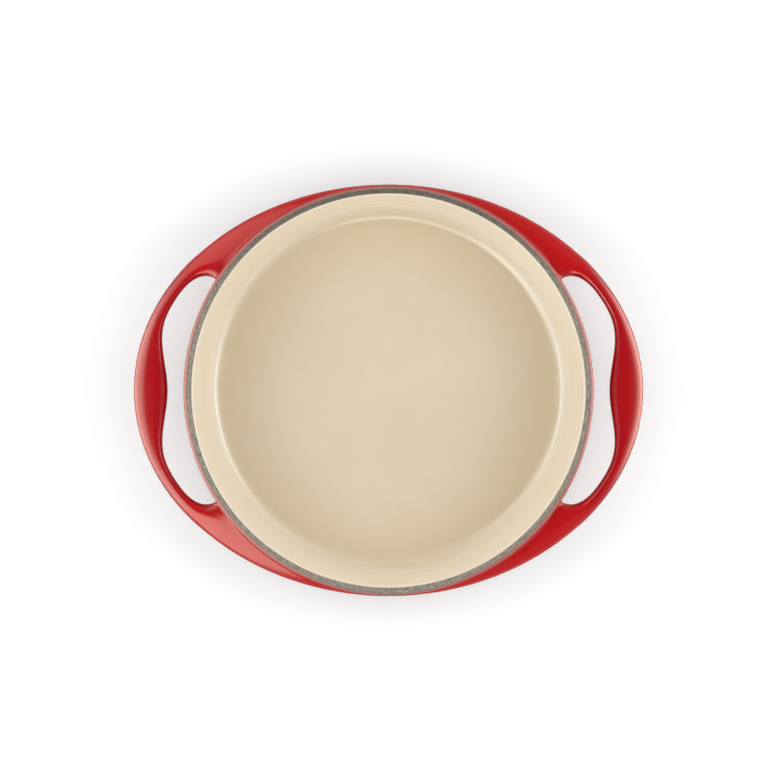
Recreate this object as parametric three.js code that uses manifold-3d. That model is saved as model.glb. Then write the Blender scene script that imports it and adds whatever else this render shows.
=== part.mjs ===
// Tarte tatin pan: one iron casting with two loop handles, under four coats of fired enamel.
// Millimetres, +Z up. The origin is the centre of the underside and the handles lie along X.

import * as THREE from "three";
import { mergeVertices } from "three/addons/utils/BufferGeometryUtils.js";
import Module from "manifold-3d";

const wasm = await Module();
wasm.setup();

// The bowl, measured on the finished enamel
const mouthDiameter = 250; // across the inner edge of the rim band
const panHeight = 51;
const floorThickness = 5;
const wallThickness = 4.5; // level with the floor
const wallFlare = THREE.MathUtils.degToRad(14); // lean of the inner wall
const floorFillet = 8; // inside corner of floor and wall
const footRadius = 10; // outside corner of wall and base
const rimBandWidth = 3;
const lipRadius = 1.2; // inner edge of the rim
const rimRadius = 2; // outer edge of the rim

// The handles, measured on the finished enamel
const fingerGap = 10.7; // between the rim and the middle of the grip
const gripWidth = 21; // at the middle of the grip
const waistWidth = 8.7; // where the grip has narrowed
const gripLength = 99; // along Y, from waist to waist
const openingLength = 147; // along Y, from end to end of the finger opening
const openingRounding = 19; // the rounded stretch at each end of the opening
const handleThickness = 10.5;
const handleDrop = 5; // top of the handles below the rim
const bandThickness = 7.5; // the band that joins the handles, at the front and back of the pan
const bandDrop = 2; // top of that band below the rim
const bandReach = 0.6; // how far that band stands out past the rim
const edgeRounding = 10; // reach of the rounded edges across the handles
const edgeShare = 0.48; // largest share of the width that one rounded edge takes
const rootRounding = 1.5; // the same where an end of the opening meets the wall

// The enamel
const coatThickness = 0.5;
const coatGap = 0.2; // between a coat and the iron under it
const seamGap = 0.2; // between the rim or base coat and its neighbours

// Fineness of the round forms
const turnSteps = 60;
const cornerSteps = 4;
const edgeSteps = 3; // per quarter of a handle edge
const gripSteps = 8;
const endSteps = 5;
const webSteps = 7;
const edgeSquareness = 2.1; // power of the rounded edges, where 2 is a plain ellipse
const openingSquareness = 2.5; // the same for the ends of the openings

// Radii and levels that follow from the sizes above
const bandInnerRadius = mouthDiameter / 2;
const bandOuterRadius = bandInnerRadius + rimBandWidth;
const rimOuterRadius = bandOuterRadius + rimRadius;
const lipCorner = bandInnerRadius - lipRadius * Math.tan((Math.PI / 2 - wallFlare) / 2);

function innerWallRadius(z) {
  return lipCorner - (panHeight - z) * Math.tan(wallFlare);
}

// The outer wall rises from its thickness at floor level and is tangent to the rounded rim.
const footOut = innerWallRadius(floorThickness) + wallThickness;
const rimAcross = bandOuterRadius - footOut;
const rimAbove = panHeight - rimRadius - floorThickness;
const outerFlare =
  Math.atan2(rimAcross, rimAbove) + Math.asin(rimRadius / Math.hypot(rimAcross, rimAbove));

function outerWallRadius(z) {
  return footOut + (z - floorThickness) * Math.tan(outerFlare);
}

const baseRadius = outerWallRadius(0) - footRadius * Math.tan((Math.PI / 2 - outerFlare) / 2);

// A polyline through corners [r, z, radius], each rounded to its radius.
function roundCorners(corners) {
  const points = [];
  corners.forEach(([r, z, radius], i) => {
    const corner = new THREE.Vector2(r, z);
    if (radius === 0) {
      points.push(corner);
      return;
    }
    const back = new THREE.Vector2(...corners[i - 1]).sub(corner).normalize();
    const ahead = new THREE.Vector2(...corners[i + 1]).sub(corner).normalize();
    const half = Math.acos(back.dot(ahead)) / 2;
    const start = corner.clone().addScaledVector(back, radius / Math.tan(half));
    const end = corner.clone().addScaledVector(ahead, radius / Math.tan(half));
    const middle = back.add(ahead).normalize();
    const centre = corner.clone().addScaledVector(middle, radius / Math.sin(half));
    const from = start.clone().sub(centre);
    const to = end.clone().sub(centre);
    const turn = Math.atan2(from.cross(to), from.dot(to));
    for (let step = 0; step <= cornerSteps; step += 1) {
      points.push(start.clone().rotateAround(centre, (turn * step) / cornerSteps));
    }
  });
  return points;
}

// The polyline moved to its left by a depth, with its ends kept on the axis.
function inset(points, depth) {
  return points.map((point, i) => {
    const before = points[Math.max(i - 1, 0)];
    const after = points[Math.min(i + 1, points.length - 1)];
    const incoming = (i > 0 ? point.clone().sub(before) : after.clone().sub(point)).normalize();
    const outgoing = (i < points.length - 1 ? after.clone().sub(point) : incoming.clone()).normalize();
    const normal = new THREE.Vector2(-incoming.y - outgoing.y, incoming.x + outgoing.x);
    return point.clone().addScaledVector(normal, depth / (1 + incoming.dot(outgoing)));
  });
}

// The finished section from the centre of the underside, up the outside, over the rim and down to the floor.
const section = roundCorners([
  [0, 0, 0],
  [outerWallRadius(0), 0, footRadius],
  [outerWallRadius(panHeight), panHeight, rimRadius],
  [lipCorner, panHeight, lipRadius],
  [innerWallRadius(floorThickness), floorThickness, floorFillet],
  [0, floorThickness, 0],
]);
const underCoat = inset(section, coatThickness);
const iron = inset(section, coatThickness + coatGap);
const rimTurn = 2 * (cornerSteps + 1); // place in the section of the last point on the outside of the rim

function solidFrom(geometry) {
  geometry.deleteAttribute("normal");
  geometry.deleteAttribute("uv");
  const merged = mergeVertices(geometry, 1e-5);
  const corners = [];
  for (let i = 0; i < merged.index.count; i += 3) {
    const [a, b, c] = merged.index.array.slice(i, i + 3);
    if (a !== b && b !== c && c !== a) {
      corners.push(a, b, c);
    }
  }
  return new wasm.Manifold(
    new wasm.Mesh({
      numProp: 3,
      vertProperties: new Float32Array(merged.attributes.position.array),
      triVerts: new Uint32Array(corners),
    }),
  );
}

// A solid of revolution about Z from an anticlockwise outline in (r, z).
function turned(outline) {
  const geometry = new THREE.LatheGeometry(outline, turnSteps);
  geometry.rotateX(Math.PI / 2);
  return solidFrom(geometry);
}

function closed(outline) {
  return [...outline, outline[0].clone()];
}

// The plan of the handles: an ellipse outside, and inside it the edge of the finger openings.
const reach = rimOuterRadius + fingerGap + gripWidth;
const bandRadius = rimOuterRadius + bandReach;

function ellipseRadius(angle) {
  return 1 / Math.hypot(Math.cos(angle) / reach, Math.sin(angle) / bandRadius);
}

// The angle at which a curve given by its radius is a distance away from the X axis.
function angleAt(distance, radiusAt) {
  let angle = distance / rimOuterRadius;
  for (let pass = 0; pass < 20; pass += 1) {
    angle = Math.asin(distance / radiusAt(angle));
  }
  return angle;
}

const waistRadius = (angle) => ellipseRadius(angle) - waistWidth;
const middleRadius = (angle) => (waistRadius(angle) + rimOuterRadius) / 2;
const gripAngle = angleAt(gripLength / 2, waistRadius);
const endAngle = angleAt(openingLength / 2, middleRadius);
const roundingAngle = endAngle - openingRounding / middleRadius(endAngle);

function barWidth(angle) {
  const swell = angle < gripAngle ? (1 + Math.cos((Math.PI * angle) / gripAngle)) / 2 : 0;
  return waistWidth + (gripWidth - waistWidth) * swell;
}

function innerEdgeRadius(angle) {
  return ellipseRadius(angle) - barWidth(angle);
}

function polar(radius, angle) {
  return new THREE.Vector2(radius * Math.cos(angle), radius * Math.sin(angle));
}

// A size that changes from the handles to the front and back of the pan.
function blended(handleSize, bandSize, angle) {
  return THREE.MathUtils.lerp(handleSize, bandSize, THREE.MathUtils.smoothstep(angle, endAngle, Math.PI / 2));
}

function thicknessAt(angle) {
  return blended(handleThickness, bandThickness, angle);
}

function topAt(angle) {
  return panHeight - blended(handleDrop, bandDrop, angle);
}

// The middle of the wall, where the inner edge of the webs is out of sight.
function hiddenRadius(angle) {
  const top = topAt(angle);
  return (innerWallRadius(top) + outerWallRadius(top - thicknessAt(angle))) / 2;
}

// A sine or cosine bent so that it draws a squarer ellipse.
function squared(value, squareness) {
  return Math.sign(value) * Math.abs(value) ** (2 / squareness);
}

// Stations from the middle of the right grip to the back of the pan, each with its inner edge and the
// angle of its outer edge. The stations fan out round the end of the opening.
function quarterStations() {
  const { lerp } = THREE.MathUtils;
  const fanAngle = endAngle + (2 * edgeRounding) / rimOuterRadius;
  const step = (2 * rootRounding) / rimOuterRadius;
  const stations = [];
  for (let i = 0; i < gripSteps; i += 1) {
    const angle = (roundingAngle * i) / gripSteps;
    stations.push({ inner: polar(innerEdgeRadius(angle), angle), outerAngle: angle, hidden: false });
  }
  for (let i = 0; i <= endSteps; i += 1) {
    const turn = (Math.PI / 2) * (i / endSteps);
    const angle = lerp(roundingAngle, endAngle, squared(Math.sin(turn), openingSquareness));
    const clear = innerEdgeRadius(angle) - rimOuterRadius;
    const inner = polar(rimOuterRadius + clear * squared(Math.cos(turn), openingSquareness), angle);
    stations.push({ inner, outerAngle: lerp(roundingAngle, fanAngle, i / endSteps), hidden: false });
  }
  for (let i = 0; i <= webSteps; i += 1) {
    const angle = lerp(endAngle + step, Math.PI / 2, i / webSteps);
    const outerAngle = lerp(fanAngle + step, Math.PI / 2, i / webSteps);
    stations.push({ inner: polar(hiddenRadius(outerAngle), angle), outerAngle, hidden: true });
  }
  return stations;
}

// The edges of one station: where they are, which way is into the material, and how far they are rounded.
function stationEdges(stations, i) {
  const { inner, outerAngle, hidden } = stations[i];
  const outer = polar(ellipseRadius(outerAngle), outerAngle);
  const outward = new THREE.Vector2(outer.x / reach ** 2, outer.y / bandRadius ** 2).normalize();
  const rounding = Math.min(edgeRounding, edgeShare * outer.distanceTo(inner));
  const clear = inner.length() - rimOuterRadius;
  const innerRounding = hidden ? coatThickness : THREE.MathUtils.clamp(clear, rootRounding, rounding);
  let inward = inner.clone().normalize();
  if (i > 0 && !hidden) {
    const next = stations[i + 1].hidden ? new THREE.Vector2() : stations[i + 1].inner;
    const along = next.clone().sub(stations[i - 1].inner).normalize();
    inward = new THREE.Vector2(along.y, -along.x);
  }
  const thickness = thicknessAt(outerAngle);
  const middle = topAt(outerAngle) - thickness / 2;
  return { inner, inward, innerRounding, outer, outward, rounding, hidden, thickness, middle };
}

// The closed section of one station, from the inner edge over the top to the outer edge and back below.
function stationLoop(edges, depth) {
  const { inner, inward, innerRounding, outer, outward, rounding, hidden, thickness, middle } = edges;
  const half = thickness / 2 - depth;
  const innerDepth = hidden ? 0 : depth;
  const loop = [];
  for (let step = -edgeSteps; step <= edgeSteps; step += 1) {
    const turn = ((Math.PI / 2) * step) / edgeSteps;
    const across = innerDepth + (innerRounding - innerDepth) * (1 - squared(Math.cos(turn), edgeSquareness));
    const plan = inner.clone().addScaledVector(inward, across);
    loop.push(new THREE.Vector3(plan.x, plan.y, middle + half * squared(Math.sin(turn), edgeSquareness)));
  }
  for (let step = edgeSteps; step >= -edgeSteps; step -= 1) {
    const turn = ((Math.PI / 2) * step) / edgeSteps;
    const across = depth + (rounding - depth) * (1 - squared(Math.cos(turn), edgeSquareness));
    const plan = outer.clone().addScaledVector(outward, -across);
    loop.push(new THREE.Vector3(plan.x, plan.y, middle + half * squared(Math.sin(turn), edgeSquareness)));
  }
  return loop;
}

function flipped(loops, x, y) {
  const flip = new THREE.Vector3(x, y, 1);
  return loops.map((loop) => loop.map((point) => point.clone().multiply(flip)));
}

// Both handles and the band that joins them round the pan, as one ring inset by a depth.
function handleRing(depth) {
  const stations = quarterStations();
  const quarter = stations.map((_, i) => stationLoop(stationEdges(stations, i), depth));
  const backwards = [...quarter].reverse();
  const ring = [
    ...quarter,
    ...flipped(backwards, -1, 1).slice(1),
    ...flipped(quarter, -1, -1).slice(1),
    ...flipped(backwards, 1, -1).slice(1, -1),
  ];
  const size = ring[0].length;
  const corners = [];
  ring.forEach((_, i) => {
    const here = i * size;
    const there = ((i + 1) % ring.length) * size;
    for (let j = 0; j < size; j += 1) {
      const next = (j + 1) % size;
      corners.push(here + j, there + next, there + j);
      corners.push(here + j, here + next, there + next);
    }
  });
  const geometry = new THREE.BufferGeometry().setFromPoints(ring.flat());
  geometry.setIndex(corners);
  return solidFrom(geometry);
}

// The iron: bowl and handle ring poured as one.
function panCasting() {
  return turned(iron).add(handleRing(coatThickness + coatGap));
}

// The outside coat, open where the base and rim coats take over.
function exteriorEnamel() {
  const outside = section.slice(1, rimTurn + 1);
  const under = underCoat.slice(1, rimTurn + 1);
  const filled = turned([
    new THREE.Vector2(0, 0),
    ...outside,
    new THREE.Vector2(0, panHeight),
  ]);
  const hollow = turned([
    new THREE.Vector2(0, -coatThickness),
    new THREE.Vector2(baseRadius, -coatThickness),
    ...under,
    new THREE.Vector2(bandOuterRadius, panHeight + coatThickness),
    new THREE.Vector2(0, panHeight + coatThickness),
  ]);
  return filled.add(handleRing(0)).subtract(hollow.add(handleRing(coatThickness)));
}

function interiorEnamel() {
  const inside = section.slice(rimTurn + 1);
  const under = underCoat.slice(rimTurn + 1).reverse();
  return turned([...under, ...inside]);
}

function rimEnamel() {
  const inner = bandInnerRadius + seamGap;
  const outer = bandOuterRadius - seamGap;
  const bottom = panHeight - coatThickness;
  return turned(
    closed([
      new THREE.Vector2(inner, bottom),
      new THREE.Vector2(outer, bottom),
      new THREE.Vector2(outer, panHeight),
      new THREE.Vector2(inner, panHeight),
    ]),
  );
}

function baseEnamel() {
  const edge = baseRadius - seamGap;
  return turned([
    new THREE.Vector2(0, 0),
    new THREE.Vector2(edge, 0),
    new THREE.Vector2(edge, coatThickness),
    new THREE.Vector2(0, coatThickness),
  ]);
}

function node(name, solid, look) {
  const mesh = solid.getMesh();
  const geometry = new THREE.BufferGeometry();
  geometry.setAttribute("position", new THREE.BufferAttribute(new Float32Array(mesh.vertProperties), 3));
  geometry.setIndex(new THREE.BufferAttribute(new Uint32Array(mesh.triVerts), 1));
  geometry.computeVertexNormals();
  const made = new THREE.Mesh(geometry, new THREE.MeshStandardMaterial(look));
  made.name = name;
  return made;
}

const pan = new THREE.Group();
pan.name = "tarte_tatin_pan";
pan.add(
  node("pan_casting", panCasting(), { color: 0x3a3936, roughness: 0.7, metalness: 0.8 }),
  node("exterior_enamel", exteriorEnamel(), { color: 0xb3121c, roughness: 0.2, metalness: 0 }),
  node("interior_enamel", interiorEnamel(), { color: 0xdbcbad, roughness: 0.2, metalness: 0 }),
  node("rim_enamel", rimEnamel(), { color: 0x8c8578, roughness: 0.8, metalness: 0 }),
  node("base_enamel", baseEnamel(), { color: 0x1f1d1c, roughness: 0.5, metalness: 0 }),
);

export default pan;
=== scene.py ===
"""Fine meshes, finishes and studio for a tarte tatin pan: enamelled cast iron with two loop handles."""

import logging
import math
from abc import ABC, abstractmethod
from dataclasses import dataclass
from enum import Enum
from typing import ClassVar

import bmesh
import bpy
from mathutils import Matrix, Vector


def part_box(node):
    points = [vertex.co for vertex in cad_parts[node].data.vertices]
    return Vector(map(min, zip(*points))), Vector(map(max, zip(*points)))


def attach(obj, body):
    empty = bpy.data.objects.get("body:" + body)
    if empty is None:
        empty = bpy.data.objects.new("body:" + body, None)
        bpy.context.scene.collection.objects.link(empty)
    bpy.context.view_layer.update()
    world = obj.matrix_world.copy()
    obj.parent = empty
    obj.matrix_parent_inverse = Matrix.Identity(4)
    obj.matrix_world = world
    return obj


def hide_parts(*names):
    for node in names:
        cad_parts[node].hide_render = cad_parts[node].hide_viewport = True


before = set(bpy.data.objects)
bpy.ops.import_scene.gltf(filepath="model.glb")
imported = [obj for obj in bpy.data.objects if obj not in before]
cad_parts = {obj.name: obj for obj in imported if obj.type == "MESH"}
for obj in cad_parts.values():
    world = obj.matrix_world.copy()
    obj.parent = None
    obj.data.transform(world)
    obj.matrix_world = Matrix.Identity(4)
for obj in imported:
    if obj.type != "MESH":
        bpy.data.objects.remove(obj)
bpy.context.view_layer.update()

log = logging.getLogger("tarte_tatin_pan")

Source = bpy.types.NodeSocket | float | tuple[float, ...]
Colour = tuple[float, float, float, float]
Profile = list[tuple[float, float]]

MM = 0.001
QUARTER_TURN = math.pi / 2
SEAM_GAP = 0.2 * MM
MERGE_DISTANCE = 1e-6
BODY = "root"
EDGE = "edge"
BLACK: Colour = (0.0, 0.0, 0.0, 1.0)
WHITE: Colour = (1.0, 1.0, 1.0, 1.0)


class Part(Enum):
    """The pieces of the pan, by the names of their nodes in the frame."""

    CASTING = "pan_casting"
    EXTERIOR = "exterior_enamel"
    INTERIOR = "interior_enamel"
    RIM = "rim_enamel"
    BASE = "base_enamel"


class Slot(Enum):
    """The material slots of the record."""

    CAST_IRON = "cast_iron"
    RED_ENAMEL = "red_enamel"
    SAND_ENAMEL = "sand_enamel"
    RIM_GROUND_COAT = "rim_ground_coat"
    BASE_GROUND_COAT = "base_ground_coat"


class Axis(Enum):
    """The mirror planes of the pan, by the axis across them."""

    LENGTH = "X"
    WIDTH = "Y"


def srgb(red: int, green: int, blue: int) -> Colour:
    """A colour for a shader, from values as they are read off a picture.

    Args:
        red: Red, from 0 to 255.
        green: Green, from 0 to 255.
        blue: Blue, from 0 to 255.

    Returns:
        The linear colour with full alpha.
    """
    shares = (value / 255 for value in (red, green, blue))
    linear = (s / 12.92 if s <= 0.04045 else ((s + 0.055) / 1.055) ** 2.4 for s in shares)
    return (*linear, 1.0)


def smooth(low: float, high: float, value: float) -> float:
    """A soft step from 0 to 1, as a value goes from low to high."""
    share = min(max((value - low) / (high - low), 0.0), 1.0)
    return share * share * (3 - 2 * share)


def between(start: float, end: float, share: float) -> float:
    """The value a share of the way from start to end."""
    return start + (end - start) * share


def polar(radius: float, angle: float, height: float) -> Vector:
    """A point at a radius and angle round the pan's axis."""
    return Vector((radius * math.cos(angle), radius * math.sin(angle), height))


@dataclass(frozen=True)
class PanSizes:
    """Sizes that the coats share, in metres and radians."""

    reach: float
    band_radius: float
    height: float
    rim_band_outer: float
    base_radius: float
    rim_band_width: float = 3 * MM
    rim_rounding: float = 2 * MM
    floor_thickness: float = 5 * MM
    wall_thickness: float = 4.5 * MM
    wall_flare: float = math.radians(14)
    floor_fillet: float = 8 * MM
    foot_radius: float = 10 * MM
    lip_radius: float = 1.2 * MM
    coat_thickness: float = 0.5 * MM
    turn_steps: int = 76
    wiped_wide: float = 1.2 * MM
    wiped_narrow: float = 0.4 * MM
    wiped_waver: float = 0.16 * MM
    wide_from: float = 0.9
    narrow_from: float = 0.4
    narrow_to: float = 0.7
    wavers: ClassVar[tuple[tuple[int, float, float], ...]] = ((5, 0.7, 1.0), (9, 2.1, 0.7), (17, 0.0, 0.5))

    @classmethod
    def of_frame(cls) -> "PanSizes":
        """Reads the overall sizes from the nodes of the frame.

        Returns:
            The sizes.
        """
        _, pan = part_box(Part.EXTERIOR.value)
        _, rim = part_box(Part.RIM.value)
        _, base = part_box(Part.BASE.value)
        return cls(pan[0], pan[1], pan[2], rim[0] + SEAM_GAP, base[0] + SEAM_GAP)

    @property
    def spread(self) -> float:
        """How much wider than the finished circle a ring of cage points has to be."""
        return 3 / (2 + math.cos(math.tau / self.turn_steps))

    @property
    def lip_corner(self) -> float:
        """Radius at which the inner wall would meet the level of the rim."""
        return self.rim_band_inner - self.lip_radius * math.tan((QUARTER_TURN - self.wall_flare) / 2)

    @property
    def rim_band_inner(self) -> float:
        """Radius of the inner edge of the rim band."""
        return self.rim_band_outer - self.rim_band_width

    @property
    def rim_radius(self) -> float:
        """Radius of the outside of the rim."""
        return self.rim_band_outer + self.rim_rounding

    def inner_wall(self, height: float) -> float:
        """Radius of the inside of the wall at a height."""
        return self.lip_corner - (self.height - height) * math.tan(self.wall_flare)

    @property
    def outer_flare(self) -> float:
        """Lean of the outside of the wall, which ends tangent to the rim.

        Returns:
            The lean from upright.
        """
        across = self.rim_band_outer - self.inner_wall(self.floor_thickness) - self.wall_thickness
        above = self.height - self.rim_rounding - self.floor_thickness
        return math.atan2(across, above) + math.asin(self.rim_rounding / math.hypot(across, above))

    def outer_wall(self, height: float) -> float:
        """Radius of the outside of the wall at a height."""
        foot = self.inner_wall(self.floor_thickness) + self.wall_thickness
        return foot + (height - self.floor_thickness) * math.tan(self.outer_flare)

    def wiped(self, angle: float) -> Vector:
        """The shift of the rim band's outer edge, which was wiped by hand and so isn't quite true.

        Args:
            angle: Place round the rim.

        Returns:
            The shift of that place of the edge.
        """
        waver = sum(share * math.sin(waves * angle + start) for waves, start, share in self.wavers)
        whole = sum(share for _, _, share in self.wavers)
        front = -math.sin(angle)
        wide = self.wiped_wide * smooth(self.wide_from, 1.0, front)
        narrow = self.wiped_narrow * smooth(self.narrow_from, self.narrow_to, front)
        return polar(wide - narrow + self.wiped_waver * waver / whole, angle, 0)


class Sheet:
    """A node tree that is being filled in."""

    mix_inputs: ClassVar[tuple[int, int, int]] = (0, 6, 7)
    mix_output: ClassVar[int] = 2

    def __init__(self, tree: bpy.types.NodeTree) -> None:
        """Starts on a tree."""
        self.tree = tree

    def add(
        self, kind: str, inputs: dict[str | int, Source] | None = None, **settings: object
    ) -> bpy.types.Node:
        """Adds a node.

        Args:
            kind: The node's type.
            inputs: Links or plain values for its inputs.
            **settings: Its other settings.

        Returns:
            The node.
        """
        node = self.tree.nodes.new(kind)
        for name, value in settings.items():
            setattr(node, name, value)
        for name, source in (inputs or {}).items():
            self.feed(node.inputs[name], source)
        return node

    def feed(self, socket: bpy.types.NodeSocket, source: Source) -> None:
        """Links a socket to another, or sets its plain value.

        Args:
            socket: The socket to feed.
            source: A link or a plain value.
        """
        if isinstance(source, bpy.types.NodeSocket):
            self.tree.links.new(source, socket)
        else:
            socket.default_value = source

    def math(self, operation: str, first: Source, second: Source = 0.0) -> bpy.types.NodeSocket:
        """A sum, product or other step on two values."""
        return self.add("ShaderNodeMath", {0: first, 1: second}, operation=operation).outputs[0]

    def noise(self, place: Source, scale: float, detail: float = 2.0) -> bpy.types.NodeSocket:
        """Soft noise, with its scale in waves per metre."""
        inputs = {"Vector": place, "Scale": scale, "Detail": detail}
        return self.add("ShaderNodeTexNoise", inputs).outputs["Fac"]

    def step(self, value: Source, low: Source, high: Source) -> bpy.types.NodeSocket:
        """A soft step from 0 to 1 as a value goes from low to high."""
        inputs = {"Value": value, "From Min": low, "From Max": high}
        return self.add("ShaderNodeMapRange", inputs, interpolation_type="SMOOTHSTEP").outputs["Result"]

    def span(self, value: Source, low: float, high: float) -> bpy.types.NodeSocket:
        """A value from 0 to 1 spread over a new range."""
        inputs = {"Value": value, "To Min": low, "To Max": high}
        return self.add("ShaderNodeMapRange", inputs).outputs["Result"]

    def either_way(
        self, place: Source, scale: float, reach: float, detail: float = 2.0
    ) -> bpy.types.NodeSocket:
        """Soft noise that goes as far below zero as above it."""
        return self.span(self.noise(place, scale, detail), -reach, reach)

    def without(self, value: Source) -> bpy.types.NodeSocket:
        """What is left of a whole without a share of it."""
        return self.math("SUBTRACT", 1.0, value)

    def mix(self, share: Source, first: Source, second: Source) -> bpy.types.NodeSocket:
        """A blend of two colours.

        Args:
            share: How much of the second colour there is.
            first: The first colour.
            second: The second colour.

        Returns:
            The blend.
        """
        node = self.add("ShaderNodeMix", data_type="RGBA")
        for place, source in zip(self.mix_inputs, (share, first, second)):
            self.feed(node.inputs[place], source)
        return node.outputs[self.mix_output]

    def radius(self, place: Source, depth: float = 1.0) -> bpy.types.NodeSocket:
        """The distance of a place from the pan's axis, where y counts as much as depth says."""
        flat = self.add("ShaderNodeVectorMath", {0: place, 1: (1, depth, 0)}, operation="MULTIPLY")
        return self.add("ShaderNodeVectorMath", {0: flat.outputs[0]}, operation="LENGTH").outputs["Value"]

    def streaks(self, place: Source, scale: float, length: float) -> bpy.types.NodeSocket:
        """Soft streaks round the pan's axis.

        Args:
            place: The place on the piece.
            scale: How many streaks lie side by side in a metre.
            length: How much longer than wide the streaks are, a metre from the axis.

        Returns:
            The streaks, from 0 to 1.
        """
        flat = self.add("ShaderNodeSeparateXYZ", {0: place}).outputs
        along = self.math("DIVIDE", self.math("ARCTAN2", flat["Y"], flat["X"]), length)
        rolled_out = self.add("ShaderNodeCombineXYZ", {"X": self.radius(place), "Y": along})
        return self.noise(rolled_out.outputs[0], scale, detail=3.0)


@dataclass(frozen=True)
class SharedEffect(ABC):
    """An effect that several finishes use, kept as one node group."""

    name: ClassVar[str]
    inputs: ClassVar[dict[str, str]]
    outputs: ClassVar[dict[str, str]]

    @abstractmethod
    def draw(self, sheet: Sheet, given: bpy.types.NodeOutputs, made: bpy.types.NodeInputs) -> None:
        """Fills the group in.

        Args:
            sheet: The group's tree.
            given: The sockets of the group's input.
            made: The sockets of the group's output.
        """

    def group(self) -> bpy.types.NodeTree:
        """The node group, made at its first use.

        Returns:
            The group's tree.
        """
        tree = bpy.data.node_groups.get(self.name)
        if tree is None:
            tree = bpy.data.node_groups.new(self.name, "ShaderNodeTree")
            for label, kind in self.inputs.items():
                tree.interface.new_socket(label, in_out="INPUT", socket_type=kind)
            for label, kind in self.outputs.items():
                tree.interface.new_socket(label, in_out="OUTPUT", socket_type=kind)
            sheet = Sheet(tree)
            self.draw(sheet, sheet.add("NodeGroupInput").outputs, sheet.add("NodeGroupOutput").inputs)
        return tree

    def use(self, sheet: Sheet, inputs: dict[str | int, Source]) -> bpy.types.NodeOutputs:
        """Adds the effect to a material.

        Args:
            sheet: The material's tree.
            inputs: Links or plain values for the effect.

        Returns:
            The sockets of the effect's results.
        """
        node = sheet.add("ShaderNodeGroup", node_tree=self.group())
        for label, source in inputs.items():
            sheet.feed(node.inputs[label], source)
        return node.outputs


@dataclass(frozen=True)
class FiredSkin(SharedEffect):
    """Fired enamel's skin: colour deepened where it pooled and under painted shade, a faint waver, uneven
    gloss.
    """

    name: ClassVar[str] = "fired_skin"
    inputs: ClassVar[dict[str, str]] = {
        "Place": "NodeSocketVector",
        "Deep": "NodeSocketColor",
        "Full": "NodeSocketColor",
        "Pooled and shaded": "NodeSocketFloat",
        "Gloss": "NodeSocketFloat",
    }
    outputs: ClassVar[dict[str, str]] = {
        "Color": "NodeSocketColor",
        "Roughness": "NodeSocketFloat",
        "Height": "NodeSocketFloat",
    }

    drift_scale: float = 14.0
    drift: float = 0.3
    mottle_scale: float = 90.0
    mottle: float = 0.15
    cloud_scale: float = 60.0
    cloud: float = 0.05
    waver_scale: float = 45.0
    peel_scale: float = 260.0
    peel: float = 0.12

    def draw(self, sheet: Sheet, given: bpy.types.NodeOutputs, made: bpy.types.NodeInputs) -> None:
        """Deepens the colour where it pooled and where shade is painted, wavers the skin and clouds the
        gloss.

        Args:
            sheet: The group's tree.
            given: The sockets of the group's input.
            made: The sockets of the group's output.
        """
        place = given["Place"]
        drift = sheet.either_way(place, self.drift_scale, self.drift)
        mottle = sheet.either_way(place, self.mottle_scale, self.mottle)
        # The pooled-and-shaded share is partly enamel pooled thick and partly painted shade; drift and mottle
        # add random tone.
        pooled_and_shaded = sheet.math("ADD", given["Pooled and shaded"], sheet.math("ADD", drift, mottle))
        sheet.feed(made["Color"], sheet.mix(sheet.step(pooled_and_shaded, 0.0, 1.0), given["Full"], given["Deep"]))
        cloud = sheet.either_way(place, self.cloud_scale, self.cloud, detail=4.0)
        sheet.feed(made["Roughness"], sheet.math("ADD", given["Gloss"], cloud))
        waver = sheet.noise(place, self.waver_scale, detail=1.0)
        peel = sheet.math("MULTIPLY", sheet.noise(place, self.peel_scale, detail=1.0), self.peel)
        sheet.feed(made["Height"], sheet.math("ADD", waver, peel))


@dataclass(frozen=True)
class ThinnedEdge(SharedEffect):
    """How far a coat has thinned out towards its edge."""

    name: ClassVar[str] = "thinned_edge"
    inputs: ClassVar[dict[str, str]] = {"Place": "NodeSocketVector", "Edge": "NodeSocketFloat"}
    outputs: ClassVar[dict[str, str]] = {"Mask": "NodeSocketFloat"}

    ragged_scale: float = 420.0
    ragged: float = 0.3

    def draw(self, sheet: Sheet, given: bpy.types.NodeOutputs, made: bpy.types.NodeInputs) -> None:
        """Fades the coat towards its edge, raggedly.

        Args:
            sheet: The group's tree.
            given: The sockets of the group's input.
            made: The sockets of the group's output.
        """
        ragged = sheet.either_way(given["Place"], self.ragged_scale, self.ragged, detail=3.0)
        near = sheet.math("ADD", given["Edge"], sheet.math("MULTIPLY", given["Edge"], ragged))
        sheet.feed(made["Mask"], sheet.step(near, 0.0, 1.0))


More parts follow.
